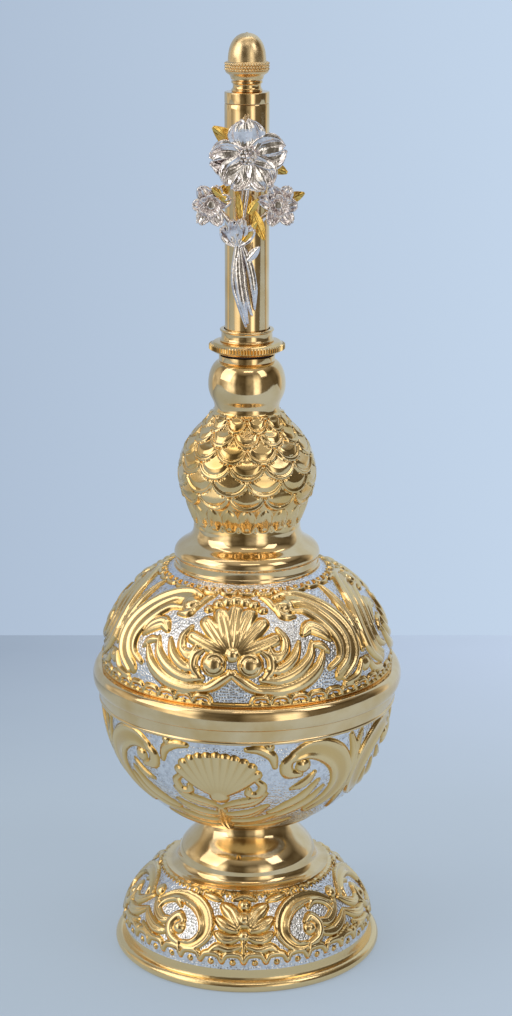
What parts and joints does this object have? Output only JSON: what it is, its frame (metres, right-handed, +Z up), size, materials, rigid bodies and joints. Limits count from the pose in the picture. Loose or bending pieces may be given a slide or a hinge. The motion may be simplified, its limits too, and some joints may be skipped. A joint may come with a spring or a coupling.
{
  "type": "holy water sprinkler",
  "caption": "Footed flask for holy water with an embossed round body, chased knop, screw-on spout with a flower spray, and an acorn screw cap over a pierced head.",
  "frame": {"origin": "centre of the foot's underside, on the plane it stands on", "axes": "+Z up along the turning axis, -Y towards the side that carries the flower spray, +X to that side's right"},
  "size_m": [0.0938, 0.0938, 0.2797],
  "materials": {
    "gilt": "polished gilt",
    "embossed": "polished gilt ornament on a matt silvered ground",
    "silvered": "polished silver plate",
    "bare_brass": "plain turned brass",
    "sealing": "matt"
  },
  "bodies": {
    "vessel": {"foot_shell": "embossed", "stem_cone": "gilt", "foot_stud": "bare_brass", "foot_washer": "bare_brass", "foot_nut": "bare_brass", "lower_bowl": "embossed", "lip_band": "gilt", "equator_ring": "gilt", "upper_dome": "embossed", "shoulder_collar": "gilt", "scale_knop": "gilt", "plain_knop": "gilt", "neck_ferrule": "gilt"},
    "neck_seal": {"neck_washer": "sealing"},
    "spout": {"knurled_nut": "gilt", "spout_collar": "gilt", "spout_tube": "gilt", "tube_top_bush": "gilt", "sprinkler_head": "gilt", "flower_stem": "silvered", "main_blossom": "silvered", "left_blossom": "silvered", "right_blossom": "silvered", "blossom_stamens": "silvered", "leaf_upper_left": "gilt", "leaf_lower_right": "gilt", "leaf_left": "gilt", "leaf_right": "gilt", "leaf_fork_low": "gilt"},
    "cap_seal": {"cap_liner": "sealing"},
    "cap": {"acorn_cap": "gilt"}
  },
  "joints": [
    {"name": "spout_rise", "type": "slide", "parent": "vessel", "child": "neck_seal", "axis": [0, 0, 1], "range_m": [0, 0.004]},
    {"name": "spout_turn", "type": "hinge", "parent": "neck_seal", "child": "spout", "pos_m": [0, 0, 0.1872], "axis": [0, 0, 1], "range_deg": [0, 1440]},
    {"name": "cap_rise", "type": "slide", "parent": "spout", "child": "cap_seal", "axis": [0, 0, 1], "range_m": [0, 0.005]},
    {"name": "cap_turn", "type": "hinge", "parent": "cap_seal", "child": "cap", "pos_m": [0, 0, 0.2662], "axis": [0, 0, 1], "range_deg": [0, 1800]}
  ],
  "couplings": [
    {"joint": "spout_turn", "follows": "spout_rise", "rad_per_m": 6283.2},
    {"joint": "cap_turn", "follows": "cap_rise", "rad_per_m": 6283.2}
  ]
}
